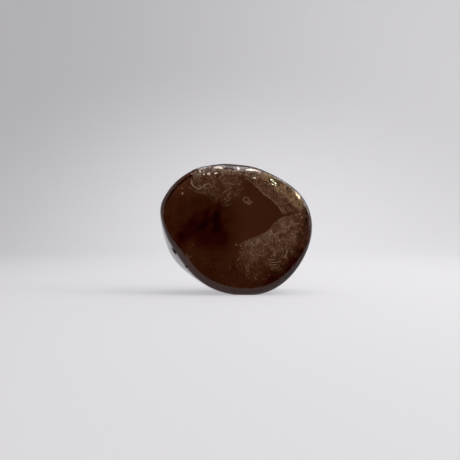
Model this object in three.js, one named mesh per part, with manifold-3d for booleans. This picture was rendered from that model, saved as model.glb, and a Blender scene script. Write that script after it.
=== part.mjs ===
// A polished slice of dravite, the brown tourmaline: one solid stone with the rounded three-sided
// outline of a tourmaline prism cut across its length. It stands on its rim, on a small flat that is
// ground on the lowest side. Millimetres, +Z up, the front face towards -Y. The origin lies on the
// surface that the stone stands on, below the middle of its box.

import * as THREE from 'three';
import { mergeVertices } from 'three/addons/utils/BufferGeometryUtils.js';
import Module from 'manifold-3d';

// ---- outline of the front face: mean radius and five waves round it, each [size, phase] ----
const MEAN_RADIUS = 9.49;
const WAVES = [
  [0.27, 70],    // off-centre
  [0.791, -43],  // oval, long axis sloping down to the right
  [0.348, 84],   // the three rounded corners of the prism
  [0.051, -64],
  [0.113, 73],   // tightens the upper right corner
];
const SWELLINGS = [  // low swellings of the outline, each [size, side, span]
  [0.07, 28, 12],
  [0.07, 68, 22],
  [0.08, 100, 12],
  [0.22, 122, 9],
  [0.18, 163, 9],
];

// ---- thickness ----
const THICKNESS = 8.6;          // at the middle
const WEDGE = 0.1;              // added thickness per mm towards +X
const FRONT_CROWN = 0.08;       // the front face domes forward by this much

// ---- front bevel, wide below and to the lower left, narrow at the upper corners ----
const BEVEL = { mean: 0.63, low: 0.36, lowSide: 265, oval: 0.08 };
const BEVEL_TOP = { size: 0.68, side: 92, span: 18 };    // widening across the top flat
const BEVEL_LEFT = { size: 0.42, side: 199, span: 24 };  // widening at the lower left
const BEVEL_STEEPNESS = 0.95;   // depth of the bevel for each mm of its width

// ---- side wall ----
const BARREL = 0.24;            // how far the middle of the plain wall stands out from both rims
const FLARE = { size: 1.42, side: 204, span: 30 };  // the lower left wall spreads past the front face
const FLARE_TURN = 64;          // degrees of a sine wave that the flare runs through, front to back
const RIPPLE = { size: 0.035, count: 11, side: 95, span: 40 };  // unevenly polished top edge
const BACK_EDGE = { width: 0.9, depth: 1.0 };       // rounding between the wall and the back

// ---- foot and damage ----
const FOOT_DROP = 8.88;         // from the outline's centre down to the ground flat
const PIT = { angle: 198.4, part: 0.08, length: 0.54, width: 0.6, depth: 0.28 };
const NICK = { angle: 216, part: 0, length: 0.18, width: 0.4, depth: 0.26 };

// ---- fineness of the faceted surface ----
const AROUND = 116;
const FACE_RINGS = 3;
const BEVEL_STEPS = 3;
const WALL_STEPS = 8;
const BACK_STEPS = 4;

const radians = THREE.MathUtils.degToRad;

/** Bell curve: 1 where an angle meets a side, falling off over the span, all in degrees. */
function bell(angle, side, span) {
  const apart = ((angle - side + 540) % 360) - 180;
  return Math.exp(-((apart / span) ** 2));
}

/** Radius of the front outline at an angle in degrees, counted from +X towards +Z. */
function outlineRadius(angle) {
  const waved = WAVES.reduce(
    (radius, [size, phase], i) => radius + size * Math.cos(radians((i + 1) * angle - phase)),
    MEAN_RADIUS,
  );
  const swollen = SWELLINGS.reduce(
    (radius, [size, side, span]) => radius + size * bell(angle, side, span),
    waved,
  );
  const fade = bell(angle, RIPPLE.side, RIPPLE.span);
  return swollen + RIPPLE.size * Math.sin(radians(RIPPLE.count * angle)) * fade;
}

/** Width of the front bevel at an angle. */
function bevelWidth(angle) {
  return BEVEL.mean + BEVEL.low * Math.cos(radians(angle - BEVEL.lowSide))
    - BEVEL.oval * Math.cos(radians(2 * angle))
    + BEVEL_TOP.size * bell(angle, BEVEL_TOP.side, BEVEL_TOP.span)
    + BEVEL_LEFT.size * bell(angle, BEVEL_LEFT.side, BEVEL_LEFT.span);
}

/** Depth of the back face behind the middle of the front face, at a place x. */
function backDepth(x) {
  return THICKNESS + WEDGE * x;
}

/** Depths behind the middle of the front face at which the side wall starts and ends at an angle. */
function wallSpan(angle) {
  const across = Math.cos(radians(angle));
  return [
    FRONT_CROWN + bevelWidth(angle) * BEVEL_STEEPNESS,
    backDepth(outlineRadius(angle) * across) - BACK_EDGE.depth,
  ];
}

/**
 * Radius of the side wall at an angle, a part of the way from its front end (0) to its back end (1).
 * It is a barrel with the outline's radius at both ends, except where the flare spreads it backwards.
 */
function wallRadius(angle, part) {
  const flared = bell(angle, FLARE.side, FLARE.span);
  return outlineRadius(angle) + (1 - flared) * BARREL * Math.sin(Math.PI * part)
    + flared * FLARE.size * Math.sin(radians(FLARE_TURN * part));
}

/**
 * Section through the stone at one angle, from the front face round the rim to the back face.
 * Each station is [radius, depth behind the middle of the front face].
 */
function section(angle) {
  const face = outlineRadius(angle) - bevelWidth(angle);
  const [wallStart, wallEnd] = wallSpan(angle);
  const backRim = wallRadius(angle, 1);
  const across = Math.cos(radians(angle));
  const stations = [];
  for (let i = 1; i <= FACE_RINGS; i++) {
    const part = i / FACE_RINGS;
    stations.push([face * part, FRONT_CROWN * part * part]);
  }
  for (let i = 1; i <= BEVEL_STEPS; i++) {
    // halfway between a straight bevel and a quarter round
    const part = i / BEVEL_STEPS;
    const turn = radians(90 * part);
    const out = (part + Math.sin(turn)) / 2;
    const back = (part + 1 - Math.cos(turn)) / 2;
    stations.push([
      face + bevelWidth(angle) * out,
      FRONT_CROWN + (wallStart - FRONT_CROWN) * back,
    ]);
  }
  for (let i = 1; i <= WALL_STEPS; i++) {
    const part = i / WALL_STEPS;
    stations.push([wallRadius(angle, part), wallStart + (wallEnd - wallStart) * part]);
  }
  for (let i = 1; i <= BACK_STEPS; i++) {
    const turn = radians(90 * i / BACK_STEPS);
    const radius = backRim - BACK_EDGE.width * (1 - Math.cos(turn));
    stations.push([radius, backDepth(radius * across) - BACK_EDGE.depth * (1 - Math.sin(turn))]);
  }
  for (let i = FACE_RINGS - 1; i >= 1; i--) {
    const radius = (backRim - BACK_EDGE.width) * i / FACE_RINGS;
    stations.push([radius, backDepth(radius * across)]);
  }
  return stations;
}

/** The whole stone before its foot is ground: the section carried round the centre. */
function stoneGeometry() {
  const vertices = [0, 0, 0];
  const faces = [];
  let rings = 0;
  for (let k = 0; k < AROUND; k++) {
    const angle = 360 * k / AROUND;
    const stations = section(angle);
    rings = stations.length;
    for (const [radius, depth] of stations) {
      vertices.push(radius * Math.cos(radians(angle)), depth, radius * Math.sin(radians(angle)));
    }
  }
  vertices.push(0, backDepth(0), 0);
  const last = AROUND * rings + 1;
  for (let k = 0; k < AROUND; k++) {
    const here = 1 + k * rings;
    const next = 1 + ((k + 1) % AROUND) * rings;
    faces.push(0, here, next);
    for (let j = 0; j < rings - 1; j++) {
      faces.push(here + j, here + j + 1, next + j + 1);
      faces.push(here + j, next + j + 1, next + j);
    }
    faces.push(here + rings - 1, last, next + rings - 1);
  }
  const geometry = new THREE.BufferGeometry();
  geometry.setAttribute('position', new THREE.Float32BufferAttribute(vertices, 3));
  geometry.setIndex(faces);
  return geometry;
}

/** Block below the stone whose top is the plane that the foot is ground to. */
function grindingBlock() {
  const size = 30;
  return new THREE.BoxGeometry(size, size, size).translate(0, 0, -FOOT_DROP - size / 2);
}

/** Lens-shaped hollow sunk in the side wall, with its length along the rim. */
function hollow({ angle, part, length, width, depth }) {
  const [wallStart, wallEnd] = wallSpan(angle);
  const radius = wallRadius(angle, part);
  return new THREE.SphereGeometry(1, 14, 10)
    .scale(depth, width, length)
    .rotateY(-radians(angle))
    .translate(
      radius * Math.cos(radians(angle)),
      wallStart + (wallEnd - wallStart) * part,
      radius * Math.sin(radians(angle)),
    );
}

const wasm = await Module();
wasm.setup();

/** Closed three.js geometry as a solid that can be cut. */
function toSolid(geometry) {
  const bare = geometry.clone();
  bare.deleteAttribute('normal');
  bare.deleteAttribute('uv');
  const merged = mergeVertices(bare, 1e-4);
  return new wasm.Manifold(new wasm.Mesh({
    numProp: 3,
    vertProperties: new Float32Array(merged.attributes.position.array),
    triVerts: new Uint32Array(merged.index.array),
  }));
}

/** Cut solid back as a three.js geometry. */
function toGeometry(solid) {
  const { vertProperties, triVerts } = solid.getMesh();
  const geometry = new THREE.BufferGeometry();
  geometry.setAttribute('position', new THREE.Float32BufferAttribute(vertProperties, 3));
  geometry.setIndex(new THREE.Uint32BufferAttribute(triVerts, 1));
  geometry.computeVertexNormals();
  return geometry;
}

const stone = toGeometry(
  toSolid(stoneGeometry())
    .subtract(toSolid(grindingBlock()))
    .subtract(toSolid(hollow(PIT)))
    .subtract(toSolid(hollow(NICK))),
);

// Move the stone so that it stands on z = 0 with the middle of its box over the origin.
stone.computeBoundingBox();
const middle = stone.boundingBox.getCenter(new THREE.Vector3());
stone.translate(-middle.x, -middle.y, FOOT_DROP);

const crystal = new THREE.Mesh(
  stone,
  new THREE.MeshStandardMaterial({ color: 0x35180d, roughness: 0.08, metalness: 0 }),
);
crystal.name = 'crystal';

const group = new THREE.Group();
group.add(crystal);

export default group;
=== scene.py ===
"""Looks of a polished slice of dravite tourmaline that stands on its rim on a pale floor.

Every piece is computed in millimetres round the centre of the front face's outline, with x to the
right, y into the stone and z up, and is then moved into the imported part's frame, in metres. Angles
round the stone are in degrees from +X towards +Z.
"""

import itertools
import logging
import math
from dataclasses import dataclass
from typing import NamedTuple, Optional

import bpy
import numpy as np
from bpy.types import Material, Node, NodeSocket, Object
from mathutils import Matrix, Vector


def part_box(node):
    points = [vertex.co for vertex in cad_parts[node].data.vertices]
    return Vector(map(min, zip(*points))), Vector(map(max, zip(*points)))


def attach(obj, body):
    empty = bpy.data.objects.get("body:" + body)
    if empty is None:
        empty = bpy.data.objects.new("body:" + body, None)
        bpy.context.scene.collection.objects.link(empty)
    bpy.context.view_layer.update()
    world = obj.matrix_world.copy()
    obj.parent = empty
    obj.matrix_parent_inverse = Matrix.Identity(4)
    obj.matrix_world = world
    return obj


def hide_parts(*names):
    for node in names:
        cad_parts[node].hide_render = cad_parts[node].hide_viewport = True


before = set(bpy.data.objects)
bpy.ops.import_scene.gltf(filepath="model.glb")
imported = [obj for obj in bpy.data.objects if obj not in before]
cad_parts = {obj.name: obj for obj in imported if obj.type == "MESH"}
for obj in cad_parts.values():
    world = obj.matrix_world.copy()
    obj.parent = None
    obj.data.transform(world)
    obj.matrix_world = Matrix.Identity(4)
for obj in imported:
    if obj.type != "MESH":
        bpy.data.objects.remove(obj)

log = logging.getLogger("dravite")
MM = 0.001
CRYSTAL = "crystal"
Array = np.ndarray
Colour = tuple[float, float, float]


# ---- helpers for shapes and meshes ----


class Bell(NamedTuple):
    """Bell curve round the rim: size * exp(-(distance / span)^2), side and span in degrees."""

    size: float
    side: float
    span: float

    def at(self, angle: Array) -> Array:
        """The curve's values at some angles."""
        apart = (angle - self.side + 180.0) % 360.0 - 180.0
        return self.size * np.exp(-((apart / self.span) ** 2))


def smooth(low: float, high: float, value: Array) -> Array:
    """Smooth step from 0 at low to 1 at high, 3t^2 - 2t^3 between them."""
    t = np.clip((value - low) / (high - low), 0.0, 1.0)
    return t * t * (3.0 - 2.0 * t)


def steps(count: int) -> Array:
    """Even parts of the way from just past 0 up to 1, as a column."""
    return (np.arange(1, count + 1) / count)[:, None]


def unit_grid(rows: int, columns: int) -> list:
    """Parts of the way from row to row, and from column to column, over a grid."""
    return np.meshgrid(np.linspace(0.0, 1.0, rows), np.linspace(0.0, 1.0, columns), indexing="ij")


def polar(radius: Array, depth: Array, angle: Array) -> Array:
    """Positions at radii and angles round the centre, at depths behind the front face's middle."""
    turn = np.radians(angle)
    return np.stack([radius * np.cos(turn), depth, radius * np.sin(turn)], axis=-1)


def turning(first: int, second: int, angle: Array) -> Array:
    """Rotation matrices that turn one axis towards another.

    Args:
        first: number of the axis that is turned.
        second: number of the axis that it is turned towards.
        angle: angles in radians.

    Returns:
        One matrix for each angle.
    """
    matrix = np.tile(np.eye(3), (len(angle), 1, 1))
    matrix[:, first, first] = matrix[:, second, second] = np.cos(angle)
    matrix[:, second, first] = np.sin(angle)
    matrix[:, first, second] = -np.sin(angle)
    return matrix


class Shape(NamedTuple):
    """A closed surface: vertices in millimetres, quads, triangles, and matter at each vertex."""

    vertices: Array
    quads: Array = np.empty((0, 4), dtype=int)
    triangles: Array = np.empty((0, 3), dtype=int)
    matter: Optional[Array] = None


def grid_faces(rows: int, columns: int, wrap: bool) -> Array:
    """Quads between the rows of a vertex grid that is stored row by row.

    Args:
        rows: number of rows.
        columns: number of vertices in a row.
        wrap: join the last column to the first.

    Returns:
        Vertex numbers, one row of four for each quad.
    """
    last = columns if wrap else columns - 1
    row, column = np.meshgrid(np.arange(rows - 1) * columns, np.arange(last), indexing="ij")
    following = (column + 1) % columns
    corners = (row + column, row + following, row + columns + following, row + columns + column)
    return np.stack(corners, axis=-1).reshape(-1, 4)


def pole_faces(rows: int, around: int) -> Array:
    """Triangles from the first and the last of some rings to two poles that are stored after them.

    Args:
        rows: number of rings.
        around: number of vertices in a ring.

    Returns:
        Vertex numbers, one row of three for each triangle.
    """
    column = np.arange(around)
    following = (column + 1) % around
    first, last, end = rows * around, rows * around + 1, (rows - 1) * around
    front = np.stack([np.full(around, first), column, following], axis=-1)
    back = np.stack([np.full(around, last), end + following, end + column], axis=-1)
    return np.vstack([front, back])


def closed_rings(rings: Array, first: Array, last: Array) -> Shape:
    """Closed surface through rings of vertices, with a pole at either end.

    Args:
        rings: positions, rings by vertices by three.
        first: the pole before the first ring.
        last: the pole after the last ring.

    Returns:
        The surface.
    """
    rows, around = rings.shape[:2]
    vertices = np.vstack([rings.reshape(-1, 3), [first, last]])
    return Shape(vertices, grid_faces(rows, around, wrap=True)[:, ::-1], pole_faces(rows, around))


def join(shapes: list) -> Shape:
    """Several shapes as one, with the vertex numbers of the later ones moved up.

    Args:
        shapes: the shapes, in order.

    Returns:
        One shape.
    """
    starts = np.cumsum([0] + [len(shape.vertices) for shape in shapes[:-1]])
    return Shape(
        np.vstack([shape.vertices for shape in shapes]),
        np.vstack([shape.quads + start for shape, start in zip(shapes, starts)]),
        np.vstack([shape.triangles + start for shape, start in zip(shapes, starts)]),
    )


def curve(points: tuple, part: Array) -> Array:
    """Smooth curve through points: a Catmull-Rom cubic between each pair.

    Args:
        points: the points, each with the same number of coordinates.
        part: parts of the way from the first point (0) to the last (1).

    Returns:
        Places on the curve, with the coordinates along the last axis.
    """
    known = np.array(points, dtype=float)
    padded = np.vstack([2.0 * known[0] - known[1], known, 2.0 * known[-1] - known[-2]])
    place = np.clip(part, 0.0, 1.0) * (len(known) - 1)
    first = np.minimum(place.astype(int), len(known) - 2)
    t = (place - first)[..., None]
    before, start, end, after = (padded[first + step] for step in range(4))
    return start + 0.5 * t * (
        (end - before)
        + t * (2.0 * before - 5.0 * start + 4.0 * end - after)
        + t * t * (3.0 * start - before - 3.0 * end + after)
    )


def cloud_noise(points: Array, size: float, seed: int, start: float) -> Array:
    """Soft random pattern from 0 to 1: random values on a lattice, blended by smooth steps.

    Args:
        points: places, with three coordinates along the last axis.
        size: spacing of the lattice, in the same unit.
        seed: chooses the pattern.
        start: added to every coordinate, to begin further on in the pattern.

    Returns:
        One value for each place.
    """
    cells = 24
    table = np.random.default_rng(seed).random((cells, cells, cells))
    place = (points + start) / size
    base = np.floor(place).astype(int)
    t = place - base
    t = t * t * (3.0 - 2.0 * t)
    value = np.zeros(place.shape[:-1])
    for corner in itertools.product((0, 1), repeat=3):
        weight = np.prod(np.where(corner, t, 1.0 - t), axis=-1)
        x, y, z = np.moveaxis((base + corner) % cells, -1, 0)
        value = value + weight * table[x, y, z]
    return value


def tube(path: Array, radius: Array, flatness: float, sides: int = 8) -> Shape:
    """Closed tube along a path: an ellipse carried along it, drawn to a point at both ends.

    Args:
        path: places on the tube's axis, one row each.
        radius: half width of the tube at each place.
        flatness: its half depth, as a share of its half width.
        sides: vertices round the tube.

    Returns:
        The tube.
    """
    along = np.gradient(path, axis=0)
    along = along / np.linalg.norm(along, axis=1, keepdims=True)
    side = np.cross(along, np.array([0.0, 1.0, 0.0]))
    side = side / np.linalg.norm(side, axis=1, keepdims=True)
    deep = np.cross(side, along)
    turn = (np.arange(sides) * 2.0 * np.pi / sides)[:, None]
    half = radius[1:-1, None, None]
    wide = half * np.cos(turn) * side[1:-1, None]
    high = half * flatness * np.sin(turn) * deep[1:-1, None]
    return closed_rings(path[1:-1, None] + wide + high, path[0], path[-1])


def shell(front: Array, back: Array) -> Shape:
    """Closed thin shell between two grids of the same size, with a strip of quads round its rim.

    Args:
        front: places of the side that is seen, rows by columns by three.
        back: the same grid, a little deeper.

    Returns:
        The shell.
    """
    rows, columns = front.shape[:2]
    near = grid_faces(rows, columns, wrap=False)
    deep = rows * columns
    number = np.arange(deep).reshape(rows, columns)
    loop = np.concatenate([number[0, :-1], number[:-1, -1], number[-1, :0:-1], number[:0:-1, 0]])
    following = np.roll(loop, -1)
    rim = np.stack([loop, loop + deep, following + deep, following], axis=-1)
    points = np.vstack([front.reshape(-1, 3), back.reshape(-1, 3)])
    return Shape(points, np.vstack([near, near[:, ::-1] + deep, rim]))


def make_mesh(name: str, shape: Shape, material: Material,
              offset: Array = np.zeros(3), flat: bool = False) -> Object:
    """Puts a shape into a new object at the origin, and dresses it.

    Args:
        name: the piece's name.
        shape: the surface, in millimetres.
        material: its material.
        offset: added to every vertex, in metres.
        flat: leave the faces flat-shaded.

    Returns:
        The new object.
    """
    loops = np.concatenate([shape.quads.ravel(), shape.triangles.ravel()]).astype(np.int32)
    sizes = np.concatenate([np.full(len(shape.quads), 4), np.full(len(shape.triangles), 3)])
    starts = np.concatenate([[0], np.cumsum(sizes)[:-1]]).astype(np.int32)
    mesh = bpy.data.meshes.new(name)
    mesh.vertices.add(len(shape.vertices))
    points = shape.vertices * MM + offset
    mesh.vertices.foreach_set("co", points.astype(np.float32).ravel())
    mesh.loops.add(len(loops))
    mesh.loops.foreach_set("vertex_index", loops)
    mesh.polygons.add(len(starts))
    mesh.polygons.foreach_set("loop_start", starts)
    mesh.polygons.foreach_set("use_smooth", np.full(len(starts), not flat))
    mesh.update(calc_edges=True)
    mesh.validate()
    if shape.matter is not None:
        attribute = mesh.attributes.new("matter", "FLOAT", "POINT")
        attribute.data.foreach_set("value", shape.matter.astype(np.float32))
    mesh.materials.append(material)
    piece = bpy.data.objects.new(name, mesh)
    bpy.context.scene.collection.objects.link(piece)
    return piece


# ---- finishes ----


class Finish:
    """A new material with an empty node tree, and short ways to fill it."""

    def __init__(self, name: str) -> None:
        """Makes the material.

        Args:
            name: the finish's name.
        """
        self.material = bpy.data.materials.new(name)
        self.material.use_nodes = True
        self.tree = self.material.node_tree
        self.tree.nodes.clear()

    def add(self, kind: str, inputs: dict, **settings: object) -> Node:
        """Adds a node.

        Args:
            kind: Blender's name for the node type.
            inputs: for input sockets by name or number, a value or the socket to link to it.
            settings: property names and values.

        Returns:
            The node.
        """
        node = self.tree.nodes.new(kind)
        for key, value in settings.items():
            setattr(node, key, value)
        for key, value in inputs.items():
            if isinstance(value, NodeSocket):
                self.tree.links.new(value, node.inputs[key])
            else:
                node.inputs[key].default_value = value
        return node

    def close(self, **shaders: NodeSocket) -> Material:
        """Adds the output node with its shaders linked, and gives the finished material."""
        self.add("ShaderNodeOutputMaterial", shaders)
        return self.material

    def coordinates(self) -> NodeSocket:
        """Object coordinates, in metres."""
        return self.add("ShaderNodeTexCoord", {}).outputs["Object"]

    def axis(self, name: str) -> NodeSocket:
        """One of the object coordinates, X, Y or Z."""
        return self.add("ShaderNodeSeparateXYZ", {"Vector": self.coordinates()}).outputs[name]

    def noise(self, scale: float, detail: float, roughness: float = 0.5) -> NodeSocket:
        """Fractal noise on object coordinates.

        Args:
            scale: waves per metre.
            detail: octaves.
            roughness: strength of each finer octave.

        Returns:
            The noise's value socket.
        """
        values = {"Scale": scale, "Detail": detail, "Roughness": roughness, "Vector": self.coordinates()}
        return self.add("ShaderNodeTexNoise", values).outputs["Fac"]

    def ramp(self, value: NodeSocket, low: float, high: float,
             start: float = 0.0, end: float = 1.0) -> NodeSocket:
        """Value mapped smoothly from low..high to start..end."""
        values = {"Value": value, "From Min": low, "From Max": high, "To Min": start, "To Max": end}
        return self.add("ShaderNodeMapRange", values, interpolation_type="SMOOTHSTEP").outputs["Result"]

    def math(self, operation: str, first: NodeSocket, second: object,
             clamp: bool = False) -> NodeSocket:
        """Two values combined by a Math node; the second may be a plain number."""
        node = self.add("ShaderNodeMath", {0: first, 1: second}, operation=operation, use_clamp=clamp)
        return node.outputs["Value"]

    def tones(self, deep: Colour, pale: Colour, value: NodeSocket) -> NodeSocket:
        """A deep and a pale colour mixed by a value."""
        values = {"A": (*deep, 1.0), "B": (*pale, 1.0), "Factor": value}
        return self.add("ShaderNodeMix", values, data_type="RGBA").outputs["Result"]

    def oval(self, centre: tuple, radii: tuple, turn: float = 0.0) -> NodeSocket:
        """Distance from a centre, 1 on an ellipsoid.

        Args:
            centre: its middle, in metres.
            radii: its half lengths, in metres.
            turn: degrees that it is turned about y, from +X up to +Z.

        Returns:
            The distance socket.
        """
        values = {
            "Vector": self.coordinates(), "Location": centre, "Scale": radii,
            "Rotation": (0.0, -math.radians(turn), 0.0),
        }
        mapping = self.add("ShaderNodeMapping", values, vector_type="TEXTURE")
        length = self.add("ShaderNodeVectorMath", {0: mapping.outputs["Vector"]}, operation="LENGTH")
        return length.outputs["Value"]

    def spot(self, centre: tuple, radii: tuple, turn: float, ragged: float = 0.35) -> NodeSocket:
        """Soft oval spot on x and z: 1 in its middle, falling smoothly to 0 at its ragged edge.

        Args:
            centre: x and z of its middle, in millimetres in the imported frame.
            radii: half its length and half its width, in millimetres.
            turn: degrees that its length is turned up from +X.
            ragged: strength of the noise that its edge is pushed about by.

        Returns:
            The spot's value socket.
        """
        endless, edge_scale, soft_edge = 1000.0, 900.0, (0.25, 1.15)
        distance = self.oval(
            (centre[0] * MM, 0.0, centre[1] * MM), (radii[0] * MM, endless, radii[1] * MM), turn
        )
        pushed = self.ramp(self.noise(edge_scale, 3.0), 0.2, 0.8, -ragged, ragged)
        return self.ramp(self.math("ADD", distance, pushed), *soft_edge, 1.0, 0.0)


@dataclass(frozen=True)
class DravitePolish:
    """Clear brown tourmaline with a glassy polish, darker and redder to the left.

    The darkness of its growth zones comes from three ramps on object coordinates, from noise, and
    from smudges, each with the centre, half sizes and turn that spot() takes, and a strength. The
    tints are the colours at some darknesses.
    """

    ior: float = 1.63
    roughness: float = 0.02
    absorption_colour: Colour = (0.43, 0.19, 0.005)
    absorption_density: float = 560.0
    darker_left: tuple = (-0.0022, 0.0026, 0.52, 0.0)
    paler_top: tuple = (0.0128, 0.0155, 1.0, 0.3)
    darker_foot: tuple = (0.003, 0.0075, 0.46, 0.0)
    clouds: tuple = (0.3, 0.7, -0.1, 0.1)
    cloud_scale: float = 420.0
    tints: tuple = (
        (0.0, (0.93, 0.83, 0.77)), (0.36, (0.65, 0.5, 0.4)), (0.53, (0.47, 0.32, 0.21)),
        (0.62, (0.4, 0.2, 0.12)), (0.72, (0.33, 0.08, 0.07)), (1.0, (0.11, 0.01, 0.03)),
    )
    smudges: tuple = (
        ((-2.7, 10.4), (2.1, 0.75), 80.0, 0.4), ((-4.4, 10.3), (2.0, 0.9), 68.0, 0.26),
        ((-3.9, 8.7), (4.2, 2.7), 0.0, 0.2), ((-1.9, 8.2), (2.2, 1.2), -60.0, 0.16),
        ((-7.6, 7.6), (1.4, 0.8), 120.0, 0.18), ((-7.4, 10.0), (3.0, 2.2), 90.0, 0.1),
        ((-5.6, 9.9), (1.6, 1.1), 90.0, 0.12), ((9.1, 7.4), (2.6, 0.9), 81.0, 0.35),
        ((7.8, 4.3), (2.6, 0.9), 60.0, 0.4), ((4.9, 2.0), (2.6, 0.8), 33.0, 0.35),
    )

    def zones(self, finish: Finish) -> NodeSocket:
        """Darkness of the growth zones, from 0 in the clear window to 1 in the darkest smudge.

        Args:
            finish: the material that the nodes go into.

        Returns:
            The darkness socket.
        """
        left = finish.ramp(finish.axis("X"), *self.darker_left)
        top = finish.ramp(finish.axis("Z"), *self.paler_top)
        foot = finish.ramp(finish.axis("Z"), *self.darker_foot)
        zone = finish.math("MAXIMUM", finish.math("MULTIPLY", left, top), foot)
        cloudy = finish.ramp(finish.noise(self.cloud_scale, 4.0, 0.55), *self.clouds)
        zone = finish.math("ADD", zone, cloudy)
        for centre, radii, turn, strength in self.smudges:
            spot = finish.spot(centre, radii, turn)
            zone = finish.math("ADD", zone, finish.math("MULTIPLY", spot, strength))
        return zone

    def material(self) -> Material:
        """The stone's material: plain transmission, IOR and volume absorption, tinted by zone.

        Returns:
            The material.
        """
        finish = Finish("dravite_polish")
        tint = finish.add("ShaderNodeValToRGB", {"Fac": self.zones(finish)})
        stops = tint.color_ramp.elements
        (_, clear), *between, (_, dark) = self.tints
        stops[0].color = (*clear, 1.0)
        stops[1].color = (*dark, 1.0)
        for place, colour in between:
            stops.new(place).color = (*colour, 1.0)
        shader = finish.add("ShaderNodeBsdfPrincipled", {
            "Base Color": tint.outputs["Color"], "Transmission Weight": 1.0, "IOR": self.ior,
            "Roughness": self.roughness,
        })
        volume = finish.add("ShaderNodeVolumeAbsorption", {
            "Color": (*self.absorption_colour, 1.0), "Density": self.absorption_density,
        })
        return finish.close(Surface=shader.outputs["BSDF"], Volume=volume.outputs["Volume"])


@dataclass(frozen=True)
class VeilHaze:
    """Milky layer of tiny inclusions: a matt colour that covers more or less, in clumps."""

    name: str
    pale: Colour
    deep: Colour
    cover: tuple
    line: float
    clump_scale: float = 1500.0
    clumping: tuple = (0.32, 0.68)
    line_scale: float = 520.0
    line_count: float = 9.0
    fine_scale: float = 4200.0
    fine: tuple = (0.3, 0.7, -0.13, 0.16)

    def material(self) -> Material:
        """The haze: its cover is the piece's matter times noise clumps and fine contour lines.

        Returns:
            The material.
        """
        finish = Finish(self.name)
        clumps = finish.ramp(finish.noise(self.clump_scale, 4.0, 0.6), *self.clumping)
        whole_turns = 2.0 * math.pi * self.line_count
        level = finish.math("MULTIPLY", finish.noise(self.line_scale, 3.0, 0.55), whole_turns)
        lines = finish.ramp(finish.math("SINE", level, 0.0), -0.1, 1.0, -self.line / 2.0, self.line)
        fine = finish.ramp(finish.noise(self.fine_scale, 3.0, 0.6), *self.fine)
        cover = finish.ramp(clumps, 0.0, 1.0, *self.cover)
        total = finish.math("ADD", finish.math("ADD", cover, lines), fine)
        matter = finish.add("ShaderNodeAttribute", {}, attribute_name="matter").outputs["Fac"]
        shader = finish.add("ShaderNodeBsdfPrincipled", {
            "Base Color": finish.tones(self.deep, self.pale, clumps), "Roughness": 0.7,
            "Specular IOR Level": 0.2, "Alpha": finish.math("MULTIPLY", total, matter, clamp=True),
        })
        return finish.close(Surface=shader.outputs["BSDF"])


@dataclass(frozen=True)
class FlakeMatter:
    """Opaque pale mineral matter of flakes, threads and specks, with a varying tone."""

    name: str
    pale: Colour
    deep: Colour
    roughness: float = 0.45
    metallic: float = 0.0
    tone_scale: float = 2500.0
    toning: tuple = (0.35, 0.65)

    def material(self) -> Material:
        """The matter: two tones mixed by noise, with a slight gloss.

        Returns:
            The material.
        """
        finish = Finish(self.name)
        tone = finish.ramp(finish.noise(self.tone_scale, 3.0), *self.toning)
        shader = finish.add("ShaderNodeBsdfPrincipled", {
            "Base Color": finish.tones(self.deep, self.pale, tone), "Roughness": self.roughness,
            "Metallic": self.metallic,
        })
        return finish.close(Surface=shader.outputs["BSDF"])


# ---- the stone ----


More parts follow.
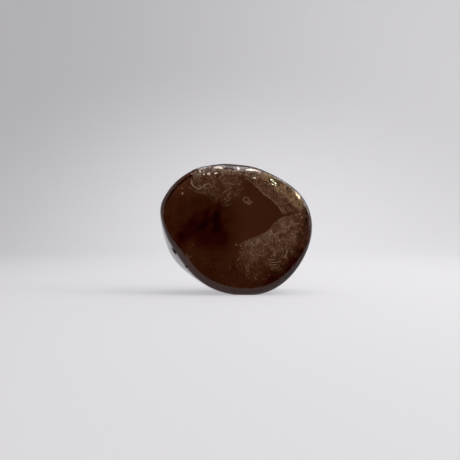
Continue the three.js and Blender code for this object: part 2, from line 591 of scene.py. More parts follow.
@dataclass(frozen=True)
class StoneForm:
    """Sizes of the polished slice in millimetres, and the formulas of its surface."""

    mean_radius: float = 9.49
    waves: tuple = ((0.27, 70.0), (0.791, -43.0), (0.348, 84.0), (0.051, -64.0), (0.113, 73.0))
    swellings: tuple = (
        Bell(0.07, 28.0, 12.0), Bell(0.07, 68.0, 22.0), Bell(0.08, 100.0, 12.0),
        Bell(0.22, 122.0, 9.0), Bell(0.18, 163.0, 9.0),
    )
    ripple: Bell = Bell(0.035, 95.0, 40.0)
    ripple_count: int = 11
    thickness: float = 8.6
    wedge: float = 0.1
    front_crown: float = 0.08
    bevel_mean: float = 0.63
    bevel_low: float = 0.36
    bevel_low_side: float = 265.0
    bevel_oval: float = 0.08
    bevel_widenings: tuple = (Bell(0.68, 92.0, 18.0), Bell(0.42, 199.0, 24.0))
    bevel_steepness: float = 0.95
    barrel: float = 0.24
    flare: float = 1.42
    flare_zone: Bell = Bell(1.0, 204.0, 30.0)
    flare_turn: float = 64.0
    back_edge_width: float = 0.9
    back_edge_depth: float = 1.0
    foot_drop: float = 8.88

    def outline_radius(self, angle: Array) -> Array:
        """Front outline: the mean radius, five cosine waves, five low swellings and a top ripple.

        Args:
            angle: angles round the stone.

        Returns:
            Radii in millimetres.
        """
        radius = np.full_like(angle, self.mean_radius)
        for count, (size, phase) in enumerate(self.waves, start=1):
            radius = radius + size * np.cos(np.radians(count * angle - phase))
        for swelling in self.swellings:
            radius = radius + swelling.at(angle)
        return radius + self.ripple.at(angle) * np.sin(np.radians(self.ripple_count * angle))

    def bevel_width(self, angle: Array) -> Array:
        """Width of the front bevel: two cosine waves, widened by bells at the top and lower left.

        Args:
            angle: angles round the stone.

        Returns:
            Widths in millimetres.
        """
        turn = np.radians(angle)
        low = self.bevel_low * np.cos(turn - math.radians(self.bevel_low_side))
        top, left = (widening.at(angle) for widening in self.bevel_widenings)
        return self.bevel_mean + low - self.bevel_oval * np.cos(2.0 * turn) + top + left

    def bevel_point(self, angle: Array, part: Array) -> tuple[Array, Array]:
        """Places on the bevel, halfway between a straight chamfer and a quarter round.

        Args:
            angle: angles round the stone.
            part: parts of the way from the bevel's inner edge to its outer edge.

        Returns:
            Radii and depths in millimetres.
        """
        turn = part * np.pi / 2.0
        bevel = self.bevel_width(angle)
        radius = self.outline_radius(angle) - bevel + bevel * (part + np.sin(turn)) / 2.0
        back = (part + 1.0 - np.cos(turn)) / 2.0
        return radius, self.front_crown + bevel * self.bevel_steepness * back

    def back_depth(self, x: Array) -> Array:
        """Depth of the back face behind the middle of the front face."""
        return self.thickness + self.wedge * x

    def wall_span(self, angle: Array) -> tuple[Array, Array]:
        """Depths at which the side wall starts and ends.

        Args:
            angle: angles round the stone.

        Returns:
            Both depths in millimetres.
        """
        across = np.cos(np.radians(angle))
        start = self.front_crown + self.bevel_width(angle) * self.bevel_steepness
        end = self.back_depth(self.outline_radius(angle) * across) - self.back_edge_depth
        return start, end

    def wall_radius(self, angle: Array, part: Array) -> Array:
        """Outline plus half a sine wave of barrel, or at the lower left a flare, mixed by a bell.

        Args:
            angle: angles round the stone.
            part: part of the way from the wall's front end (0) to its back end (1).

        Returns:
            Radii in millimetres.
        """
        flared = self.flare_zone.at(angle)
        return (
            self.outline_radius(angle)
            + (1.0 - flared) * self.barrel * np.sin(np.pi * part)
            + flared * self.flare * np.sin(np.radians(self.flare_turn * part))
        )

    def rim_line(self, start: float, end: float, inset: float, count: int = 8) -> tuple:
        """Points at a fixed distance inside the front face's edge.

        Args:
            start: angle of the first point.
            end: angle of the last point.
            inset: distance inside the edge, in millimetres.
            count: number of points.

        Returns:
            The x and z of each point.
        """
        angle = np.linspace(start, end, count)
        turn, radius = np.radians(angle), self.outline_radius(angle) - self.bevel_width(angle) - inset
        return tuple(zip(radius * np.cos(turn), radius * np.sin(turn)))


FORM = StoneForm()


@dataclass(frozen=True)
class Hollow:
    """A small lens-shaped hollow in the side wall, in millimetres and degrees."""

    angle: float
    part: float
    length: float
    width: float
    depth: float

    def sink(self, angle: Array, part: Array) -> Array:
        """Depth of the hollow: an ellipsoid's cap, depth * sqrt(1 - (s/length)^2 - (t/width)^2).

        Args:
            angle: angles of the wall's vertices.
            part: their parts of the way along the wall.

        Returns:
            How far each vertex moves inwards.
        """
        here = np.array(self.angle)
        start, end = FORM.wall_span(here)
        apart = (angle - self.angle + 180.0) % 360.0 - 180.0
        along = np.radians(apart) * FORM.outline_radius(here)
        across = (part - self.part) * (end - start)
        inside = 1.0 - (along / self.length) ** 2 - (across / self.width) ** 2
        return self.depth * np.sqrt(np.clip(inside, 0.0, None))


@dataclass(frozen=True)
class CrystalBody:
    """The polished stone as one closed, finely divided surface."""

    hollows: tuple = (
        Hollow(angle=198.4, part=0.08, length=0.54, width=0.6, depth=0.28),
        Hollow(angle=216.0, part=0.0, length=0.18, width=0.4, depth=0.26),
    )
    around: int = 600
    face_rings: int = 21
    edge_ring: float = 0.997
    bevel_rings: int = 14
    wall_rings: int = 44
    back_rings: int = 16
    inner_back_rings: int = 12

    def rings(self) -> Array:
        """Section of the stone at every angle, from the front face round the rim to the back.

        The front face is a shallow dome, with one more ring at edge_ring of the way that keeps its
        edge crisp; the wall is a barrel with a flare; the back edge is a quarter of an ellipse that
        ends on the tilted flat back. The rim is cut off level at the foot.

        Returns:
            Positions, rings by vertices by three.
        """
        angle = np.arange(self.around) * 360.0 / self.around
        across = np.cos(np.radians(angle))
        start, end = FORM.wall_span(angle)
        quarter = np.pi / 2.0

        fraction = np.insert(steps(self.face_rings), -1, self.edge_ring)[:, None]
        radii = [(FORM.outline_radius(angle) - FORM.bevel_width(angle)) * fraction]
        depths = [FORM.front_crown * fraction**2 + np.zeros_like(angle)]

        radius, depth = FORM.bevel_point(angle, steps(self.bevel_rings))
        radii.append(radius)
        depths.append(depth)

        part = steps(self.wall_rings)
        radii.append(FORM.wall_radius(angle, part))
        depths.append(start + (end - start) * part)

        turn = steps(self.back_rings) * quarter
        back_rim = FORM.wall_radius(angle, np.ones_like(angle))
        radii.append(back_rim - FORM.back_edge_width * (1.0 - np.cos(turn)))
        drop = FORM.back_edge_depth * (1.0 - np.sin(turn))
        depths.append(FORM.back_depth(radii[-1] * across) - drop)

        fraction = steps(self.inner_back_rings)[-2::-1]
        radii.append((back_rim - FORM.back_edge_width) * fraction)
        depths.append(FORM.back_depth(radii[-1] * across))

        radius, depth = np.vstack(radii), np.vstack(depths)
        angles = np.broadcast_to(angle, radius.shape)
        wall_part = (depth - start) / (end - start)
        for hollow in self.hollows:
            radius = radius - hollow.sink(angles, wall_part)
        downward = np.clip(-np.sin(np.radians(angles)), 1e-6, None)
        return polar(np.minimum(radius, FORM.foot_drop / downward), depth, angles)

    def surface(self) -> Shape:
        """The closed surface round the outline's centre, with a pole in the middle of each face."""
        return closed_rings(self.rings(), np.zeros(3), np.array([0.0, FORM.back_depth(0.0), 0.0]))

    def offset(self) -> Array:
        """Where the outline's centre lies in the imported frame.

        Returns:
            Its position in metres.
        """
        vertices = self.surface().vertices * MM
        low, high = (np.array(corner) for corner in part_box(CRYSTAL))
        middle = (vertices.min(axis=0) + vertices.max(axis=0)) / 2.0
        place = (low + high) / 2.0 - middle
        place[2] = low[2] + FORM.foot_drop * MM
        return place

    def build(self) -> Object:
        """Builds and dresses the stone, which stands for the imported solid."""
        return make_mesh("polished_stone", self.surface(), DravitePolish().material(), self.offset())


# ---- the camera, and what it sees inside the stone ----


@dataclass(frozen=True)
class Camera:
    """The camera, in millimetres from the outline's centre, and degrees."""

    lens: float = 55.0
    place: tuple = (-0.922, -95.3, 1.12)
    pitch_down: float = 0.65
    clip_start: float = 1.0

    def build(self, centre: Array) -> Object:
        """Makes the camera and makes it the scene's.

        Args:
            centre: the outline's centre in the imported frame, in metres.

        Returns:
            The camera object.
        """
        data = bpy.data.cameras.new("camera")
        data.lens = self.lens
        data.clip_start = self.clip_start * MM
        camera = bpy.data.objects.new("camera", data)
        camera.location = Vector(centre + np.array(self.place) * MM)
        camera.rotation_euler = (math.radians(90.0 - self.pitch_down), 0.0, 0.0)
        bpy.context.scene.collection.objects.link(camera)
        bpy.context.scene.camera = camera
        return camera


@dataclass(frozen=True)
class FacePane:
    """The polished front face as a pane that the inside is seen through."""

    eye: tuple
    ior: float

    def behind(self, place: Array) -> Array:
        """Points inside that appear at a place of the face: the slope of sight is divided by IOR.

        Args:
            place: x and z on the face and the depth behind it, along the last axis.

        Returns:
            Positions round the outline's centre, with x, y and z along the last axis.
        """
        x, z, depth = np.moveaxis(np.asarray(place, dtype=float), -1, 0)
        distance = -self.eye[1]
        return np.stack([
            x + (x - self.eye[0]) / distance / self.ior * depth,
            depth,
            z + (z - self.eye[2]) / distance / self.ior * depth,
        ], axis=-1)


PANE = FacePane(Camera().place, DravitePolish().ior)


@dataclass(frozen=True)
class VeilSheet:
    """A curved thin layer of tiny inclusions between two edge lines, seen through the face.

    Each edge is a list of (x, z) on the face in millimetres. The layer holds most matter from
    `rise` of the way past its sharp first edge, thins out from `fall` to its `tail`, and fades at
    both `ends`. Its depth goes from the first to the second of `depths`, give or take `wave`.
    """

    name: str
    edge: tuple
    far_edge: tuple
    depths: tuple
    rise: float
    fall: float
    tail: float
    ends: tuple = (0.1, 0.1)
    wave: float = 0.06
    seed: int = 1
    rows: int = 90
    columns: int = 150
    far_fade: float = 0.06
    wave_length: float = 2.2
    thickness: float = 0.03

    def place(self, along: Array, across: Array) -> Array:
        """The sheet: a straight blend from one edge curve to the other, with a waved depth.

        Args:
            along: parts of the way along the edges.
            across: parts of the way from the first edge to the second.

        Returns:
            x, z and depth along the last axis.
        """
        first, second = curve(self.edge, along), curve(self.far_edge, along)
        x, z = np.moveaxis(first + (second - first) * across[..., None], -1, 0)
        level = np.stack([x, z, np.zeros_like(across)], axis=-1)
        waves = cloud_noise(level, self.wave_length, self.seed, 50.0) - 0.5
        depth = self.depths[0] + (self.depths[1] - self.depths[0]) * across
        return np.stack([x, z, depth + self.wave * 2.0 * waves], axis=-1)

    def matter(self, along: Array, across: Array) -> Array:
        """How much matter the sheet holds, 0 to 1: smooth steps at its four sides.

        Args:
            along: parts of the way along the edges.
            across: parts of the way from the first edge to the second.

        Returns:
            One value for each place.
        """
        ends = smooth(0.0, self.ends[0], along) * smooth(0.0, self.ends[1], 1.0 - along)
        thinning = 1.0 - (1.0 - self.tail) * smooth(self.fall, 0.95, across)
        return ends * smooth(0.0, self.rise, across) * thinning * smooth(0.0, self.far_fade, 1.0 - across)

    def shape(self) -> Shape:
        """The sheet as a closed shell: the grid, its copy a little deeper, and a rim.

        Returns:
            The shell.
        """
        across, along = unit_grid(self.rows, self.columns)
        place = self.place(along, across)
        deeper = place + np.array([0.0, 0.0, self.thickness])
        matter = np.tile(self.matter(along, across).ravel(), 2)
        return shell(PANE.behind(place), PANE.behind(deeper))._replace(matter=matter)


@dataclass(frozen=True)
class Flakes:
    """Many thin six-sided flakes scattered over a sheet, each a flat double pyramid.

    Sizes and `lift` are in millimetres. `lean` tips all flakes back, `tilt` each at random, and
    `swing` then turns them about the line of sight, all in degrees.
    """

    name: str
    sheet: VeilSheet
    count: int
    size: tuple
    seed: int
    lift: float = 0.25
    lean: float = 0.0
    swing: float = 0.0
    tilt: float = 30.0
    clump: float = 0.55
    bulge: float = 0.18
    stretch: float = 1.8
    corners: int = 6
    unevenness: tuple = (0.7, 1.15)
    clumping: tuple = (0.35, 0.7)
    tries: int = 12

    def spots(self) -> Array:
        """Random places on the sheet, kept with a chance that follows its matter and clumps.

        Returns:
            x, z and depth, one row for each flake.
        """
        rng = np.random.default_rng(self.seed)
        along, across, chance = rng.random((3, self.count * self.tries))
        place = self.sheet.place(along, across)
        clumps = smooth(*self.clumping, cloud_noise(place, self.clump, self.seed, 80.0))
        place = place[chance < self.sheet.matter(along, across) * clumps][: self.count]
        place[:, 2] += self.lift * (rng.random(len(place)) - 0.5)
        return place

    def shape(self) -> Shape:
        """Uneven hexagons with a low point on each side, turned at random, as one shape.

        Returns:
            All flakes.
        """
        centres = PANE.behind(self.spots())
        rng = np.random.default_rng(self.seed + 1000)
        count, corners = len(centres), self.corners
        size = self.size[0] + (self.size[1] - self.size[0]) * rng.random(count) ** 2
        angle = np.arange(corners) * 2.0 * np.pi / corners
        radius = size[:, None] * rng.uniform(*self.unevenness, (count, corners))
        local = np.zeros((count, corners + 2, 3))
        local[:, :corners, 0] = radius * np.cos(angle) * self.stretch
        local[:, :corners, 2] = radius * np.sin(angle)
        local[:, corners, 1] = -self.bulge * size
        local[:, corners + 1, 1] = self.bulge * size
        roll = rng.uniform(0.0, 2.0 * np.pi, count)
        lean = np.radians(self.tilt) * rng.standard_normal((2, count))
        lean[0] += math.radians(self.lean)
        swing = np.full(count, math.radians(self.swing))
        for first, second, turn in ((2, 0, roll), (1, 2, lean[0]), (0, 1, lean[1]), (2, 0, swing)):
            local = np.einsum("nij,nkj->nki", turning(first, second, turn), local)
        vertices = (local + centres[:, None]).reshape(-1, 3)
        starts = np.arange(count)[:, None, None] * (corners + 2)
        return Shape(vertices, triangles=(pole_faces(1, corners) + starts).reshape(-1, 3))


class Thread(NamedTuple):
    """A bright line inside the stone: (x, z) points on the face, width and depth in millimetres."""

    points: tuple
    width: float
    depth: float
    seed: int
    unevenness: float = 0.35
    closed: bool = False

    def shape(self) -> Shape:
        """A flattened tube along a smooth curve, with an uneven width and pointed ends.

        Returns:
            The tube.
        """
        steps_to_point, waver, wave_length, sharpness, flatness = 14, 0.2, 0.35, 1.6, 0.4
        part = np.linspace(0.0, 1.0, steps_to_point * len(self.points))
        place = np.insert(curve(self.points, part), 2, self.depth, axis=1)
        path = PANE.behind(place)
        noise = cloud_noise(path, wave_length, self.seed, 60.0 + self.seed) - 0.5
        path[:, 1] += waver * noise
        swell = 1.0 + 2.0 * self.unevenness * noise
        ends = np.sqrt(np.clip(4.0 * part * (1.0 - part), 0.0, 1.0))
        taper = 1.0 if self.closed else np.clip(ends * sharpness, 0.0, 1.0)
        return tube(path, self.width / 2.0 * swell * taper, flatness)


@dataclass(frozen=True)
class Threads:
    """A group of threads of one finish, joined to one piece."""

    name: str
    threads: tuple

    def shape(self) -> Shape:
        """All threads as one shape."""
        return join([Thread(*thread).shape() for thread in self.threads])


@dataclass(frozen=True)
class Specks:
    """Small rounded bubbles and grains: (x, z, half width, half height, depth) in millimetres."""

    name: str
    specks: tuple
    around: int = 12
    rings: int = 7
    flatness: float = 0.6

    def shape(self) -> Shape:
        """Each speck as an ellipsoid, joined to one shape.

        Returns:
            All specks.
        """
        latitude = np.linspace(-np.pi / 2.0, np.pi / 2.0, self.rings + 2)
        shapes = []
        for x, z, wide, high, depth in self.specks:
            centre = PANE.behind(np.array([x, z, depth]))
            path = centre + np.array([0.0, 0.0, high]) * np.sin(latitude)[:, None]
            shapes.append(tube(path, wide * np.cos(latitude), self.flatness, self.around))
        return join(shapes)


@dataclass(frozen=True)
class RimFlaw:
    """A flat open crack just under the front bevel, which mirrors the light like silver.

    It runs from the start to the end angle, between an inner and an outer line that are given as
    parts of the bevel's width at its start, middle and end.
    """

    name: str
    start: float
    end: float
    inner: tuple
    outer: tuple
    facing: float
    slope: float
    seed: int
    sunk: float = 0.03
    thickness: float = 0.02
    ragged: float = 0.3
    narrowest: float = 0.15
    rows: int = 12
    columns: int = 40

    def place(self, along: Array, across: Array, sunk: float) -> Array:
        """A flat plate below the curved bevel, between two angles and two lines across it.

        Args:
            along: parts of the way from the start angle to the end angle.
            across: parts of the way from the inner line to the outer line.
            sunk: least distance below the surface.

        Returns:
            Positions round the outline's centre, along the last axis.
        """
        angle = self.start + (self.end - self.start) * along
        low, high = (np.interp(along, (0.0, 0.5, 1.0), line) for line in (self.inner, self.outer))
        level = np.multiply.outer(along, (1.0, 0.0, 0.0))
        rough = 1.0 + self.ragged * (cloud_noise(level * 4.0, 0.5, self.seed, 30.0) - 0.5)
        taper = np.sqrt(np.clip(1.0 - (2.0 * along - 1.0) ** 8, 0.0, 1.0))
        half = (high - low) / 2.0 * (self.narrowest + (1.0 - self.narrowest) * taper) * rough
        part = np.minimum((low + high) / 2.0 + half * (2.0 * across - 1.0), 1.0)
        radius, depth = FORM.bevel_point(angle, np.maximum(part, 0.0))
        radius = radius + FORM.bevel_width(angle) * np.minimum(part, 0.0)
        towards = np.cos(np.radians(angle - self.facing))
        rise = math.tan(math.radians(self.slope)) * radius * towards
        return polar(radius, rise + np.max(depth - rise) + sunk, angle)

    def shape(self) -> Shape:
        """The flaw as a thin closed shell.

        Returns:
            The shell.
        """
        across, along = unit_grid(self.rows, self.columns)
        depths = (self.sunk, self.sunk + self.thickness)
        return shell(*(self.place(along, across, depth) for depth in depths))


@dataclass(frozen=True)
class PitShade:
    """Painted shade in a hollow of the rim: a flat black spindle along the rim that darkens the hollow."""

    name: str
    hollow: Hollow
    share: float = 0.92
    sunk: float = 0.25
    half_height: float = 0.48
    steps: int = 25
    sides: int = 12

    def shape(self) -> Shape:
        """The spindle, which lies inside the hollow.

        Returns:
            The spindle.
        """
        hollow = self.hollow
        part = np.linspace(-1.0, 1.0, self.steps)
        rim = FORM.outline_radius(np.array(hollow.angle))
        angle = hollow.angle + np.degrees(part * hollow.length * self.share / rim)
        start, end = FORM.wall_span(angle)
        radius = FORM.wall_radius(angle, np.full_like(angle, hollow.part)) - hollow.depth * self.sunk
        height = hollow.depth * self.half_height
        path = polar(radius, start + (end - start) * hollow.part, angle)
        half = height * np.sqrt(np.clip(1.0 - part**2, 0.0, 1.0))
        return tube(path, half, hollow.width * self.share / height, self.sides)


THREAD_PALE = FlakeMatter("thread_pale", (1.0, 0.86, 0.7), (0.75, 0.54, 0.4), 0.6)
THREAD_DIM = FlakeMatter("thread_dim", (0.6, 0.42, 0.3), (0.35, 0.2, 0.13), 0.6)
THREAD_EDGE = FlakeMatter("thread_edge", (0.72, 0.48, 0.38), (0.3, 0.18, 0.12), 0.6)
UNEVEN = 0.9


@dataclass(frozen=True)
class Inclusions:
    """Everything that shows inside the stone, sizes in millimetres, as pairs of form and finish.

    The veils are healed fractures, rim haze and faint clouds. The threads are edges of the
    fractures, healed cracks and the ring bubble. The specks are bright grains in the left, the
    middle and the golden zone.
    """

    hollows: tuple
    veils: tuple = (
        (VeilSheet(
            "lower_right_veil",
            ((-0.1, -2.3), (1.37, -1.43), (2.6, -0.89), (4.1, -0.2), (4.64, 0.34), (5.19, 1.02),
             (6.0, 1.64), (6.83, 1.98), (8.7, 2.35)),
            FORM.rim_line(262.0, 374.0, 0.7, 9), (0.45, 0.6),
            rise=0.02, fall=0.3, tail=0.35, ends=(0.2, 0.05), seed=11,
        ), VeilHaze("veil_haze", (0.95, 0.72, 0.52), (0.6, 0.4, 0.26), (0.17, 0.33), 0.08)),
        (VeilSheet(
            "upper_left_veil",
            ((-6.3, 7.0), (-6.1, 5.9), (-5.3, 5.1), (-4.4, 4.8), (-3.5, 4.3), (-2.7, 3.5),
             (-1.9, 3.1), (-1.0, 3.2), (0.0, 3.9), (1.0, 5.0)),
            ((-5.6, 7.5), (-4.9, 7.7), (-4.1, 7.8), (-3.2, 7.9), (-2.2, 8.0), (-1.2, 8.0),
             (-0.2, 7.9), (0.6, 7.8), (1.3, 7.6), (2.0, 7.3)), (0.5, 0.45),
            rise=0.04, fall=0.5, tail=0.8, ends=(0.1, 0.4), seed=21, rows=80, columns=120,
        ), VeilHaze("upper_haze", (0.76, 0.56, 0.38), (0.46, 0.3, 0.18), (0.05, 0.26), 0.08)),
        (VeilSheet(
            "golden_rim_veil",
            ((2.9, 7.3), (4.1, 6.3), (4.9, 5.67), (5.74, 4.85), (6.4, 4.3), (7.24, 3.75),
             (8.06, 3.07), (8.8, 2.5)),
            FORM.rim_line(71.0, 16.0, -0.1), (0.45, 0.35),
            rise=0.12, fall=0.8, tail=0.9, ends=(0.1, 0.08), wave=0.04, seed=31, rows=50, columns=120,
        ), VeilHaze("golden_haze", (1.0, 0.8, 0.52), (0.5, 0.32, 0.16), (0.25, 0.78), 0.14)),
        (VeilSheet(
            "fracture_band",
            ((0.956, 7.2), (2.0, 6.5), (2.75, 5.8), (3.7, 4.85), (4.45, 4.35), (5.2, 3.7),
             (5.9, 2.9), (6.5, 2.05)),
            ((2.6, 7.75), (3.6, 7.45), (4.3, 6.9), (4.9, 5.8), (5.74, 4.9), (6.4, 4.35),
             (7.24, 3.8), (9.0, 2.4)), (0.5, 0.45),
            rise=0.06, fall=0.1, tail=0.6, ends=(0.1, 0.06), wave=0.05, seed=41, rows=50, columns=120,
        ), VeilHaze("band_haze", (0.8, 0.56, 0.38), (0.55, 0.36, 0.22), (0.2, 0.34), 0.1,
                    line_scale=300.0, line_count=7.0)),
        (VeilSheet(
            "top_haze",
            ((-6.2, 6.6), (-4.6, 7.1), (-3.0, 7.4), (-1.2, 7.5), (0.2, 7.4), (1.8, 7.0), (3.6, 6.9)),
            FORM.rim_line(131.0, 59.0, -0.1, 7), (0.45, 0.35),
            rise=0.35, fall=0.9, tail=0.9, wave=0.03, seed=51, rows=40, columns=120,
        ), VeilHaze("top_haze", (0.95, 0.76, 0.62), (0.5, 0.34, 0.26), (0.12, 0.45), 0.3)),
        (VeilSheet(
            "left_cloud", FORM.rim_line(214.0, 112.0, 0.03),
            ((-5.0, -1.5), (-4.5, -0.3), (-4.4, 1.2), (-4.4, 2.6), (-4.2, 3.8), (-4.0, 4.6),
             (-4.0, 5.2), (-3.6, 5.8)), (0.5, 0.7),
            rise=0.02, fall=0.3, tail=0.3, ends=(0.1, 0.08), seed=61,
        ), VeilHaze("left_haze", (0.6, 0.34, 0.18), (0.4, 0.16, 0.08), (-0.03, 0.05), 0.02)),
        (VeilSheet(
            "low_cloud", FORM.rim_line(232.0, 276.0, 0.5, 5),
            ((-5.5, -2.6), (-4.0, -2.9), (-2.6, -2.8), (-1.4, -3.2), (-0.4, -4.6)), (0.6, 0.7),
            rise=0.2, fall=0.5, tail=0.5, ends=(0.15, 0.15), seed=71, rows=50, columns=80,
        ), VeilHaze("low_haze", (0.6, 0.38, 0.24), (0.4, 0.22, 0.12), (0.0, 0.12), 0.04)),
        (VeilSheet(
            "right_rim_haze", FORM.rim_line(262.0, 390.0, 1.2), FORM.rim_line(262.0, 390.0, -0.12),
            (0.5, 0.3), rise=0.5, fall=0.98, tail=1.0, wave=0.02, seed=91, rows=40, columns=200,
        ), VeilHaze("right_rim_haze", (0.56, 0.32, 0.24), (0.3, 0.14, 0.1), (0.12, 0.3), 0.03)),
        (VeilSheet(
            "corner_haze", ((-5.9, 7.4), (-5.1, 7.5), (-4.2, 7.65), (-3.4, 7.8), (-2.6, 8.1)),
            FORM.rim_line(127.0, 104.0, -0.14, 5), (0.3, 0.24),
            rise=0.1, fall=0.95, tail=0.95, ends=(0.12, 0.12), wave=0.02, seed=95, rows=40, columns=60,
        ), VeilHaze("corner_haze", (1.0, 0.93, 0.9), (0.5, 0.42, 0.38), (0.35, 0.85), 0.14,
                    clump_scale=2300.0)),
        (VeilSheet(
            "left_rim_haze", FORM.rim_line(104.0, 200.0, 0.9), FORM.rim_line(104.0, 200.0, -0.12),
            (0.5, 0.3), rise=0.5, fall=0.98, tail=1.0, wave=0.02, seed=92, rows=40, columns=200,
        ), VeilHaze("left_rim_haze", (0.4, 0.13, 0.1), (0.24, 0.07, 0.05), (0.0, 0.09), 0.02)),
    )
    threads: tuple = (
        (Threads("upper_threads", (
            (((-6.15, 7.0), (-6.05, 6.2), (-5.3, 5.65), (-4.8, 5.75), (-4.4, 6.1), (-3.8, 6.3),
              (-3.5, 6.2)), 0.18, 0.3, 1),
            (((-1.95, 5.05), (-1.3, 5.45), (-0.6, 5.9)), 0.15, 0.3, 3),
            (((-1.7, 4.2), (-1.2, 4.0), (-1.0, 4.4), (-1.3, 4.9), (-0.7, 5.0)), 0.12, 0.35, 19),
        )), THREAD_PALE),
        (Threads("faint_threads", (
            (((-6.6, 5.95), (-6.0, 5.5), (-5.3, 5.1), (-4.5, 5.0), (-3.7, 4.4), (-3.1, 3.9),
              (-2.7, 3.45)), 0.14, 0.35, 2),
            Thread(((1.2, 4.45), (0.95, 4.3), (0.9, 4.1), (1.05, 3.87), (1.35, 3.8), (1.65, 3.92),
                    (1.6, 4.2), (1.4, 4.42), (1.15, 4.45)), 0.26, 0.35, 4, closed=True),
            (((1.3, 3.75), (1.6, 3.62), (1.9, 3.75), (2.05, 4.0)), 0.3, 0.4, 5),
            (((-1.9, 7.75), (-1.3, 7.62), (-0.6, 7.66)), 0.16, 0.3, 23),
            (((-3.3, 5.0), (-2.9, 4.6), (-2.7, 4.0), (-2.3, 3.8)), 0.13, 0.35, 17),
            (((-2.9, 5.2), (-2.4, 4.7), (-2.1, 4.2), (-2.5, 3.9)), 0.12, 0.35, 18),
            (((-6.85, -3.15), (-6.55, -3.75), (-6.3, -4.3)), 0.26, 0.4, 20),
        )), THREAD_DIM),
        (Threads("fracture_edges", (
            (((1.0, 7.2), (2.0, 6.5), (2.8, 5.8), (3.75, 4.85), (4.5, 4.35), (5.25, 3.7), (5.9, 2.9),
              (6.3, 2.2)), 0.2, 0.36, 7, UNEVEN),
            (((3.5, 6.65), (4.1, 6.2), (4.9, 5.67), (5.74, 4.85), (6.4, 4.3), (7.24, 3.75),
              (8.06, 3.07), (8.8, 2.5)), 0.17, 0.33, 8, UNEVEN),
            (((-0.1, -2.3), (1.37, -1.43), (2.6, -0.89), (4.1, -0.2), (4.64, 0.34), (5.19, 1.02),
              (6.0, 1.64), (6.83, 1.98)), 0.08, 0.4, 16, UNEVEN),
        )), THREAD_EDGE),
        (Threads("lower_threads", (
            (((6.85, -2.6), (6.7, -3.2), (6.5, -3.8)), 0.16, 0.3, 9),
            (((3.65, -4.2), (4.15, -4.6), (4.8, -4.72), (5.5, -4.6)), 0.13, 0.3, 12),
            (((4.3, -4.3), (5.0, -4.36), (5.7, -4.3), (6.15, -4.1)), 0.1, 0.3, 13),
            (((4.1, -3.95), (4.7, -4.0), (5.2, -3.95)), 0.1, 0.3, 15),
            (((4.6, -5.0), (5.2, -5.05), (5.9, -4.9)), 0.08, 0.3, 21),
        )), THREAD_PALE),
        (Threads("lower_lines", (
            (((0.75, -3.0), (0.4, -3.65), (0.0, -4.1)), 0.14, 0.35, 10),
            (((0.0, -4.1), (-0.1, -4.6), (0.15, -5.3)), 0.11, 0.4, 11),
            (((5.2, -1.3), (5.35, -2.1), (5.05, -2.8)), 0.1, 0.35, 14),
            (((3.9, -2.7), (4.3, -2.9), (4.4, -3.3), (4.2, -3.6)), 0.09, 0.4, 22),
        )), THREAD_DIM),
    )
    specks: tuple = (
        (Specks("pale_grains", (
            (-7.4, 5.65, 0.1, 0.12, 0.4), (-7.45, 4.9, 0.11, 0.12, 0.4),
            (-5.95, -1.95, 0.09, 0.1, 0.35), (-6.2, -3.55, 0.07, 0.12, 0.4),
            (-0.1, -1.95, 0.14, 0.14, 0.3), (8.75, 1.75, 0.13, 0.2, 0.4),
            (8.9, -0.35, 0.1, 0.14, 0.4), (5.1, -3.4, 0.18, 0.14, 0.35),
        )), FlakeMatter("speck_pale", (1.0, 0.92, 0.84), (0.8, 0.62, 0.5), 0.4)),
        (Specks("golden_grains", (
            (4.95, 7.0, 0.08, 0.14, 0.25), (6.05, 5.3, 0.15, 0.13, 0.2), (8.54, 4.17, 0.14, 0.14, 0.25),
            (2.15, 7.05, 0.22, 0.11, 0.3),
        )), FlakeMatter("speck_gold", (1.0, 0.95, 0.76), (1.0, 0.86, 0.55), 0.3)),
    )

    def glints(self, name: str, count: int, seed: int, size: tuple, patch: tuple,
               lean: float = -17.3, tilt: float = 0.7) -> Flakes:
        """Flat flakes that lean so that they mirror the light at the right, out through the face.

        Args:
            name: the piece's name.
            count: most flakes that there can be.
            seed: chooses their places.
            size: smallest and largest half width.
            patch: x and z of the middle of their area, its half width and half height, its rise
                along x, and their depth.
            lean: degrees that they are tipped back.
            tilt: spread of it, in degrees.

        Returns:
            The flakes.
        """
        x, z, wide, high, slope, depth = patch
        upper, lower = (
            tuple((x + step, z + slope * step + side) for step in (-wide, 0.0, wide))
            for side in (high, -high)
        )
        area = VeilSheet("patch", upper, lower, (depth, depth), rise=0.01, fall=0.98, tail=1.0,
                         ends=(0.01, 0.01), wave=0.0)
        return Flakes(name, area, count, size, seed, lift=0.06, lean=lean, swing=50.0, tilt=tilt,
                      clump=0.3, bulge=0.03)

